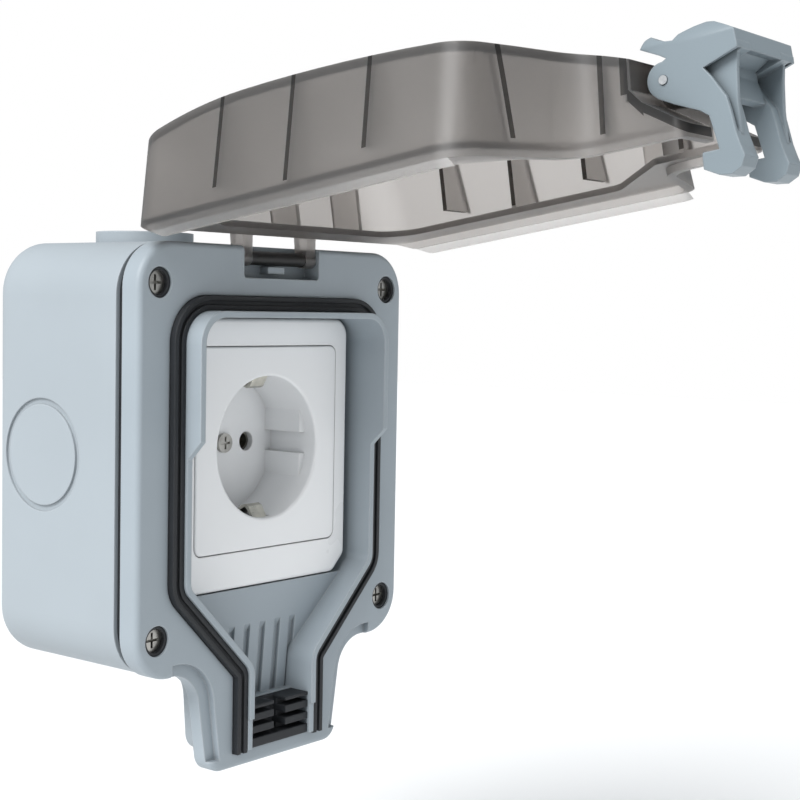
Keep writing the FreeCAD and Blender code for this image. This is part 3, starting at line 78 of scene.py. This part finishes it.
class Tree:
    """A node tree with a short way to add a node and join it."""

    def __init__(self, tree):
        self.nodes, self.links = tree.nodes, tree.links

    def put(self, socket, value):
        """Join an input to another node's output, or give it a value."""
        if isinstance(value, bpy.types.NodeSocket):
            self.links.new(value, socket)
        else:
            socket.default_value = value

    def fill(self, node, inputs):
        """Join a node's inputs or give them a value."""
        for key, value in inputs.items():
            self.put(node.inputs[key], value)
        return node

    def add(self, kind, inputs):
        """A new node with its inputs filled."""
        return self.fill(self.nodes.new(kind), inputs)

    def math(self, operation, *values):
        """The result of a sum on values or other nodes' outputs."""
        node = self.nodes.new("ShaderNodeMath")
        node.operation = operation
        return self.fill(node, dict(enumerate(values))).outputs[0]

    def mix(self, factor, first, second):
        """One colour turning into another."""
        node = self.nodes.new("ShaderNodeMix")
        node.data_type = "RGBA"
        return self.fill(node, {"Factor": factor, "A": first, "B": second}).outputs["Result"]

    def scaled(self, colour, factor):
        """A colour made lighter or darker."""
        node = self.nodes.new("ShaderNodeVectorMath")
        node.operation = "SCALE"
        return self.fill(node, {0: colour, "Scale": factor}).outputs["Vector"]

    def spread(self, value, low, high, start=0.0, end=1.0):
        """A value between start and end, spread from low to high."""
        inputs = {"Value": value, "From Min": start, "From Max": end, "To Min": low, "To Max": high}
        return self.add("ShaderNodeMapRange", inputs).outputs["Result"]

    def noise(self, place, scale, **more):
        """Soft noise at a place."""
        inputs = {"Vector": place, "Scale": scale, **more}
        return self.add("ShaderNodeTexNoise", inputs).outputs["Fac"]

    def place(self):
        """Object coordinates."""
        return self.nodes.new("ShaderNodeTexCoord").outputs["Object"]

    def ramp(self, value, low, low_colour, high, high_colour):
        """A colour between two stops."""
        node = self.add("ShaderNodeValToRGB", {"Fac": value})
        first, last = node.color_ramp.elements
        first.position, first.color = low, (*low_colour, 1)
        last.position, last.color = high, (*high_colour, 1)
        return node.outputs["Color"]

    def bump(self, height, distance, strength):
        """A node that roughens the normal by a height."""
        inputs = {"Height": height, "Distance": distance, "Strength": strength}
        return self.add("ShaderNodeBump", inputs)


# Light: a large soft key from the upper left and an even pale room

ROOM_TINT, ROOM_STRENGTH, SEEN_STRENGTH = (0.93, 0.97, 1, 1), 0.6, 1.0
KEY_ENERGY, KEY_ANGLE, KEY_TOWARDS = 3.3, math.radians(32), (-0.75, -0.05, 0.66)
FLOOR_Z, FLOOR_SIZE, FLOOR_COLOUR, FLOOR_ROUGHNESS = -0.16, 6.0, (0.9, 0.9, 0.9, 1), 0.9


def add_lights():
    """The key light, and a room that is white where it is seen straight or through the lid."""
    world = bpy.data.worlds.new("pale_room")
    bpy.context.scene.world = world
    world.use_nodes = True
    world.node_tree.nodes.clear()
    tree = Tree(world.node_tree)
    seen = tree.add("ShaderNodeBackground", {"Color": (1, 1, 1, 1), "Strength": SEEN_STRENGTH})
    room = tree.add("ShaderNodeBackground", {"Color": ROOM_TINT, "Strength": ROOM_STRENGTH})
    path = tree.nodes.new("ShaderNodeLightPath").outputs
    straight = tree.math("MAXIMUM", path["Is Camera Ray"], path["Is Transmission Ray"])
    inputs = {"Fac": straight, 1: room.outputs[0], 2: seen.outputs[0]}
    mixed = tree.add("ShaderNodeMixShader", inputs)
    tree.add("ShaderNodeOutputWorld", {"Surface": mixed.outputs[0]})

    bpy.ops.object.light_add(type="SUN", location=(-1, -0.5, 1))
    key = bpy.context.object
    key.name = "key_light"
    key.data.energy = KEY_ENERGY
    key.data.angle = KEY_ANGLE
    away = -Vector(KEY_TOWARDS).normalized()
    key.rotation_euler = away.to_track_quat("-Z", "Y").to_euler()
    bpy.context.scene.view_settings.view_transform = "Standard"


def new_material(name):
    """A new material with its tree and its shader's inputs."""
    material = bpy.data.materials.new(name)
    material.use_nodes = True
    tree = Tree(material.node_tree)
    return material, tree, tree.nodes["Principled BSDF"].inputs


def add_floor():
    """A plain pale floor."""
    bpy.ops.mesh.primitive_plane_add(size=FLOOR_SIZE, location=(0, 0, FLOOR_Z))
    floor = bpy.context.object
    floor.name = "floor"
    material, _, shader = new_material("pale_floor")
    shader["Base Color"].default_value = FLOOR_COLOUR
    shader["Roughness"].default_value = FLOOR_ROUGHNESS
    floor.data.materials.append(material)


# Shared effects

COLOUR, VALUE, NORMAL = "NodeSocketColor", "NodeSocketFloat", "NodeSocketVector"
DRIFT_SCALE, DRIFT_START, DRIFT_END = 22.0, 0.3, 0.7
EDGE_WIDTH, EDGE_FLAT, EDGE_SHARP = 0.0006, 0.995, 0.86
NOOK_CLOSED, NOOK_OPEN = 0.1, 0.75
SMOOTHER, ROUGHER, ROUGH_START, ROUGH_END = 0.85, 1.15, 0.25, 0.75
GRAIN_HEIGHT, SCRATCH_HEIGHT = 0.00004, 0.00003
SCRATCH_STRETCH, SCRATCH_SMOOTHER, SCRATCH_ROUGHER = (0.12, 1.0, 1.0), 0.7, 1.4
TARNISH_SCALE, TARNISH_START, TARNISH_END, TARNISH_TONE = 300.0, 0.3, 0.7, 0.7


def new_group(name, inputs, outputs):
    """A new node group with its input and output sockets."""
    group = bpy.data.node_groups.new(name, "ShaderNodeTree")
    for side, sockets in (("INPUT", inputs), ("OUTPUT", outputs)):
        for label, kind in sockets.items():
            group.interface.new_socket(label, in_out=side, socket_type=kind)
    return group


def moulding_group():
    """Moulded plastic: fine grain, slow colour drift, a lighter colour on sharp edges, and painted
    shade darkening the nooks.
    """
    group = new_group(
        "moulded_plastic",
        {
            "Colour": COLOUR, "Edge Colour": COLOUR, "Drift": VALUE, "Grain Scale": VALUE,
            "Grain Depth": VALUE, "Roughness": VALUE, "Nook Reach": VALUE, "Nook Shade": VALUE,
        },
        {"Colour": COLOUR, "Roughness": VALUE, "Normal": NORMAL},
    )
    tree = Tree(group)
    given = tree.nodes.new("NodeGroupInput").outputs
    out = tree.nodes.new("NodeGroupOutput").inputs
    place = tree.place()

    slow = tree.noise(place, DRIFT_SCALE, Detail=4.0)
    lowest = tree.math("SUBTRACT", 1.0, given["Drift"])
    highest = tree.math("ADD", 1.0, given["Drift"])
    drift = tree.spread(slow, lowest, highest, DRIFT_START, DRIFT_END)
    tone = tree.scaled(given["Colour"], drift)

    # A lighter colour on sharp edges, found with the bevel node's normal.
    rounded = tree.add("ShaderNodeBevel", {"Radius": EDGE_WIDTH})
    rounded.samples = 4
    soft = rounded.outputs["Normal"]
    plain = tree.nodes.new("ShaderNodeNewGeometry").outputs["Normal"]
    turn = tree.nodes.new("ShaderNodeVectorMath")
    turn.operation = "DOT_PRODUCT"
    tree.fill(turn, {0: soft, 1: plain})
    edge = tree.spread(turn.outputs["Value"], 0.0, 1.0, EDGE_FLAT, EDGE_SHARP)
    edge_lightened = tree.mix(edge, tone, given["Edge Colour"])
    # Painted shade: ambient occlusion darkens the colour in nooks and crevices.
    painted_nook_shade = tree.add("ShaderNodeAmbientOcclusion", {"Distance": given["Nook Reach"]})
    painted_nook_shade.samples = 6
    shade = tree.spread(painted_nook_shade.outputs["AO"], given["Nook Shade"], 1.0, NOOK_CLOSED, NOOK_OPEN)
    tree.put(out["Colour"], tree.scaled(edge_lightened, shade))

    grain = tree.noise(place, given["Grain Scale"], Detail=2.0)
    bump = tree.bump(grain, GRAIN_HEIGHT, given["Grain Depth"])
    tree.put(bump.inputs["Normal"], soft)
    tree.put(out["Normal"], bump.outputs["Normal"])

    least = tree.math("MULTIPLY", given["Roughness"], SMOOTHER)
    most = tree.math("MULTIPLY", given["Roughness"], ROUGHER)
    tree.put(out["Roughness"], tree.spread(slow, least, most, ROUGH_START, ROUGH_END))
    return group


def moulded(name, colour, edge, drift, grain, depth, roughness, painted_nook_shade=(0.004, 0.8)):
    """A moulded finish. Its last pair of values sets the reach of the painted shade in nooks and the
    light that this painted shade leaves there.
    """
    material, tree, shader = new_material(name)
    group = tree.nodes.new("ShaderNodeGroup")
    group.node_tree = MOULDING
    for label, value in {
        "Colour": (*colour, 1), "Edge Colour": (*edge, 1), "Drift": drift, "Grain Scale": grain,
        "Grain Depth": depth, "Roughness": roughness, "Nook Reach": painted_nook_shade[0], "Nook Shade": painted_nook_shade[1],
    }.items():
        group.inputs[label].default_value = value
    for label, socket in (
        ("Colour", "Base Color"), ("Roughness", "Roughness"), ("Normal", "Normal")
    ):
        tree.put(shader[socket], group.outputs[label])
    return material


def metal(name, colour, roughness, grain, depth):
    """Plated metal with fine drawn scratches along X and a little tarnish."""
    material, tree, shader = new_material(name)
    shader["Metallic"].default_value = 1.0
    place = tree.place()
    stretch = tree.add("ShaderNodeMapping", {"Vector": place, "Scale": SCRATCH_STRETCH})
    lines = tree.noise(stretch.outputs["Vector"], grain, Detail=3.0)
    tarnished = [value * TARNISH_TONE for value in colour]
    cloud = tree.noise(place, TARNISH_SCALE)
    tinted = tree.ramp(cloud, TARNISH_START, tarnished, TARNISH_END, colour)
    tree.put(shader["Base Color"], tinted)
    rough = tree.spread(lines, roughness * SCRATCH_SMOOTHER, roughness * SCRATCH_ROUGHER)
    tree.put(shader["Roughness"], rough)
    bump = tree.bump(lines, SCRATCH_HEIGHT, depth)
    tree.put(shader["Normal"], bump.outputs["Normal"])
    return material


# The smoky lid. Painted shade lines mark its webs and the latch's pocket where they are seen edge-on
# through the wall; these are given as they stand when the lid is shut: heights z and half widths x,
# and how far each starts before the cover's face.

WEB_HALF = 0.00064
SIDE_WEBS_Z, SIDE_WEBS_START, SIDE_WEBS_X = (0.0226, -0.024), 0.0073, 0.0394
MIDDLE_WEB_Z, LOW_START = -0.0007, 0.0045
NECK_WEB_Z, NECK_X = -0.066, 0.0146
FOOT_WEB_X, FOOT_WEB_Z, FOOT_WEB_REACH = 0.0378, -0.0518, 0.0083
POCKET_Z, POCKET_START, POCKET_X, LINE_HALF = -0.0716, 0.0121, 0.0068, 0.0009
POCKET_SLANTS = (((0.0096, -0.0755), (0.013, -0.0725)), ((0.0034, -0.0849), (0.0096, -0.0755)))
SLANT_SPARE = 0.0003
BARREL_RADIUS, BARREL_X = 0.00205, 0.0108
SMOKE_COLOUR, SMOKE_DENSITY = (0.42, 0.38, 0.35, 1), 295.0
SMOKE_CLEARNESS, SMOKE_IOR = 0.96, 1.45
FLOW_SCALE, FLOW_TWIST, FLOW_START, FLOW_END = 14.0, 0.6, 0.3, 0.75
FLOW_DARK, FLOW_LIGHT = (0.9, 0.89, 0.88), (0.96, 0.95, 0.94)
HAZE_SCALE, HAZE_SMOOTH, HAZE_ROUGH, HAZE_DEPTH = 900.0, 0.44, 0.54, 0.15
# Painted shade: the colour of the dark lines along the webs and pocket, and of the hinge barrel in
# its recess.
PAINTED_LINE_SHADE, PAINTED_BARREL_SHADE = (0.035, 0.031, 0.028, 1), (0.12, 0.12, 0.125, 1)


def shut_lid_group():
    """Masks of painted shade: lines along the lid's thin webs and the latch's pocket, where one
    looks into them edge-on, and the hinge barrel.
    """
    group = new_group("lid_webs", {}, {"Painted Shade Lines": VALUE, "Painted Barrel Shade": VALUE})
    tree = Tree(group)
    out = tree.nodes.new("NodeGroupOutput").inputs
    calc = tree.math
    shut = tree.nodes.new("ShaderNodeVectorRotate")
    shut.rotation_type = "X_AXIS"
    hinge = (0, HINGE_Y, HINGE_Z)
    tree.fill(shut, {"Vector": tree.place(), "Center": hinge, "Angle": OPEN_ANGLE})
    parts = tree.add("ShaderNodeSeparateXYZ", {"Vector": shut.outputs["Vector"]}).outputs
    x, y, z = calc("ABSOLUTE", parts["X"]), parts["Y"], parts["Z"]

    upper, lower = (calc("COMPARE", z, height, WEB_HALF) for height in SIDE_WEBS_Z)
    sides = calc("ADD", upper, lower)
    sides = calc("MULTIPLY", sides, calc("LESS_THAN", y, FACE_Y - SIDE_WEBS_START))
    low = calc("LESS_THAN", y, FACE_Y - LOW_START)
    middle = calc("MULTIPLY", calc("COMPARE", z, MIDDLE_WEB_Z, WEB_HALF), low)
    sides = calc("MULTIPLY", calc("ADD", sides, middle), calc("GREATER_THAN", x, SIDE_WEBS_X))
    neck = calc("COMPARE", z, NECK_WEB_Z, WEB_HALF)
    neck = calc("MULTIPLY", neck, calc("GREATER_THAN", x, NECK_X))
    foot = calc("COMPARE", x, FOOT_WEB_X, WEB_HALF)
    foot = calc("MULTIPLY", foot, calc("COMPARE", z, FOOT_WEB_Z, FOOT_WEB_REACH))
    ends = calc("MULTIPLY", calc("ADD", neck, foot), low)

    pocket = calc("COMPARE", z, POCKET_Z, LINE_HALF)
    pocket = calc("MULTIPLY", pocket, calc("LESS_THAN", y, FACE_Y - POCKET_START))
    for (near_q, near_z), (far_q, far_z) in POCKET_SLANTS:
        run_q, run_z = far_q - near_q, far_z - near_z
        length = math.hypot(run_q, run_z)
        along = calc("MULTIPLY", calc("SUBTRACT", FACE_Y - near_q, y), run_z / length)
        across = calc("MULTIPLY", calc("SUBTRACT", z, near_z), run_q / length)
        strip = calc("COMPARE", calc("SUBTRACT", across, along), LINE_HALF, LINE_HALF)
        reach = calc("COMPARE", z, (near_z + far_z) / 2, abs(run_z) / 2 + SLANT_SPARE)
        pocket = calc("MAXIMUM", pocket, calc("MULTIPLY", strip, reach))
    pocket = calc("MULTIPLY", pocket, calc("GREATER_THAN", x, POCKET_X))
    webs = calc("ADD", calc("ADD", sides, ends), pocket)
    webs.node.use_clamp = True
    tree.put(out["Painted Shade Lines"], webs)

    off_y, off_z = calc("SUBTRACT", y, HINGE_Y), calc("SUBTRACT", z, HINGE_Z)
    square = calc("ADD", calc("MULTIPLY", off_y, off_y), calc("MULTIPLY", off_z, off_z))
    inside = calc("LESS_THAN", calc("SQRT", square), BARREL_RADIUS)
    tree.put(out["Painted Barrel Shade"], calc("MULTIPLY", inside, calc("LESS_THAN", x, BARREL_X)))
    return group


def smoky():
    """Clear smoke-tinted plastic: it darkens with depth, with a soft haze and faint flow marks,
    painted shade lines along its webs and the latch's pocket, and painted shade on its hinge barrel.
    """
    material, tree, shader = new_material("smoky_plastic")
    shader["Transmission Weight"].default_value = SMOKE_CLEARNESS
    shader["IOR"].default_value = SMOKE_IOR
    place = tree.place()
    flow = tree.noise(place, FLOW_SCALE, Detail=3.0, Distortion=FLOW_TWIST)
    clear = tree.ramp(flow, FLOW_START, FLOW_DARK, FLOW_END, FLOW_LIGHT)
    masks = tree.nodes.new("ShaderNodeGroup")
    masks.node_tree = shut_lid_group()
    # Painted shade: dark lines where the webs and the latch's pocket are seen edge-on through the
    # wall, and a dark hinge barrel for the shadow in its recess.
    line_shaded = tree.mix(masks.outputs["Painted Shade Lines"], clear, PAINTED_LINE_SHADE)
    tree.put(shader["Base Color"], tree.mix(masks.outputs["Painted Barrel Shade"], line_shaded, PAINTED_BARREL_SHADE))
    haze = tree.noise(place, HAZE_SCALE)
    tree.put(shader["Roughness"], tree.spread(haze, HAZE_SMOOTH, HAZE_ROUGH))
    bump = tree.bump(haze, SCRATCH_HEIGHT, HAZE_DEPTH)
    tree.put(shader["Normal"], bump.outputs["Normal"])
    smoke = {"Color": SMOKE_COLOUR, "Density": SMOKE_DENSITY}
    depth = tree.add("ShaderNodeVolumeAbsorption", smoke)
    tree.put(tree.nodes["Material Output"].inputs["Volume"], depth.outputs["Volume"])
    return material


# Finishes of the material slots

MOULDING = moulding_group()
# The last pair of each finish sets the painted shade in its crevices; the latch's is deepest, to
# darken the V recesses of its arms.
MOULDED = {
    "box_plastic": dict(
        colour=(0.335, 0.375, 0.405), edge=(0.42, 0.46, 0.49),
        drift=0.035, grain=2600.0, depth=0.3, roughness=0.5,
    ),
    "cover_plastic": dict(
        colour=(0.315, 0.36, 0.395), edge=(0.45, 0.49, 0.52),
        drift=0.05, grain=2200.0, depth=0.35, roughness=0.48, painted_nook_shade=(0.006, 0.52),
    ),
    "latch_plastic": dict(
        colour=(0.205, 0.247, 0.274), edge=(0.3, 0.345, 0.375),
        drift=0.06, grain=1800.0, depth=0.4, roughness=0.42, painted_nook_shade=(0.009, 0.32),
    ),
    "white_plastic": dict(
        colour=(0.82, 0.83, 0.84), edge=(0.9, 0.9, 0.9),
        drift=0.015, grain=3000.0, depth=0.08, roughness=0.3, painted_nook_shade=(0.008, 0.68),
    ),
    "black_rubber": dict(
        colour=(0.011, 0.013, 0.016), edge=(0.022, 0.024, 0.028),
        drift=0.2, grain=1500.0, depth=0.6, roughness=0.6,
    ),
}
METALS = {
    "screw_steel": dict(colour=(0.45, 0.44, 0.415), roughness=0.3, grain=2500.0, depth=0.3),
    "pin_steel": dict(colour=(0.86, 0.87, 0.88), roughness=0.35, grain=1800.0, depth=0.3),
    "dark_pin": dict(colour=(0.09, 0.09, 0.1), roughness=0.4, grain=1800.0, depth=0.3),
    "brass_strip": dict(colour=(0.66, 0.64, 0.57), roughness=0.3, grain=2000.0, depth=0.25),
}
FINISHES = {name: moulded(name, **look) for name, look in MOULDED.items()}
FINISHES.update({name: metal(name, **look) for name, look in METALS.items()})
FINISHES["smoky_plastic"] = smoky()


def dress_nodes():
    """Give every node the finish of its slot, and the hinge's own pin a darker one."""
    for part in frame["record"]["subparts"]:
        finish = "dark_pin" if part["node"] == "hinge_pin" else part["material_slot"]
        piece = frame["nodes"][part["node"]]
        piece.data.materials.clear()
        piece.data.materials.append(FINISHES[finish])


# New pieces

PANEL_HALF, PANEL_THICK_MM = 0.0077, 1.2
PANEL_ROUNDING, PANEL_SMOOTH = 0.0004, math.radians(35)
PANEL_STATIONS_MM = [(20.6, 10.5), (19.2, 9.3), (17.9, 7.6), (16.8, 5.8), (15.8, 4.0)]
LATCH_ROUNDING, LATCH_WELD, LATCH_SHARP = 0.0005, 0.00001, math.radians(40)


def rest_place(before_mm, below_mm):
    """Where a point of the shut lid lies at rest.

    It is given by how far it stands before the cover's face and below the spout's end.
    """
    y = FACE_Y - before_mm * MM - HINGE_Y
    z = -SPOUT_END - below_mm * MM - HINGE_Z
    cos, sin = math.cos(-OPEN_ANGLE), math.sin(-OPEN_ANGLE)
    return (y * cos - z * sin + HINGE_Y, y * sin + z * cos + HINGE_Z)


def add_rounding(piece, width, segments):
    """A bevel on the piece's sharp edges."""
    rounding = piece.modifiers.new("rounding", "BEVEL")
    rounding.width = width
    rounding.segments = segments
    rounding.limit_method = "ANGLE"
    return rounding


def add_latch_panel():
    """The apron between the latch's arms, from the crown's front edge back to the arms' waist."""
    bpy.ops.object.select_all(action="DESELECT")
    bpy.ops.mesh.primitive_plane_add(size=2.0, location=(0, 0, 0))
    panel = bpy.context.object
    panel.name = "latch_panel"
    before, below = PANEL_STATIONS_MM[0]
    for vertex in panel.data.vertices:
        y, z = rest_place(before, below + PANEL_THICK_MM / 2 * vertex.co.y)
        vertex.co = (PANEL_HALF * vertex.co.x, y, z)
    bpy.ops.object.mode_set(mode="EDIT")
    bpy.ops.mesh.select_all(action="SELECT")
    for near, far in zip(PANEL_STATIONS_MM, PANEL_STATIONS_MM[1:]):
        (y0, z0), (y1, z1) = rest_place(*near), rest_place(*far)
        step = {"value": (0, y1 - y0, z1 - z0)}
        bpy.ops.mesh.extrude_region_move(TRANSFORM_OT_translate=step)
    bpy.ops.mesh.select_all(action="SELECT")
    bpy.ops.mesh.normals_make_consistent(inside=False)
    bpy.ops.object.mode_set(mode="OBJECT")
    add_rounding(panel, PANEL_ROUNDING, 3)
    bpy.ops.object.modifier_apply(modifier="rounding")
    bpy.ops.object.shade_smooth_by_angle(angle=PANEL_SMOOTH)
    panel.data.materials.append(FINISHES["latch_plastic"])
    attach(panel, "latch_body")


def soften_latch():
    """Rounded edges on the CAD latch, as its moulding has them."""
    piece = frame["nodes"]["latch"]
    weld = piece.modifiers.new("weld", "WELD")
    weld.merge_threshold = LATCH_WELD
    add_rounding(piece, LATCH_ROUNDING, 2).angle_limit = LATCH_SHARP


add_camera()
add_lights()
add_floor()
dress_nodes()
add_latch_panel()
soften_latch()
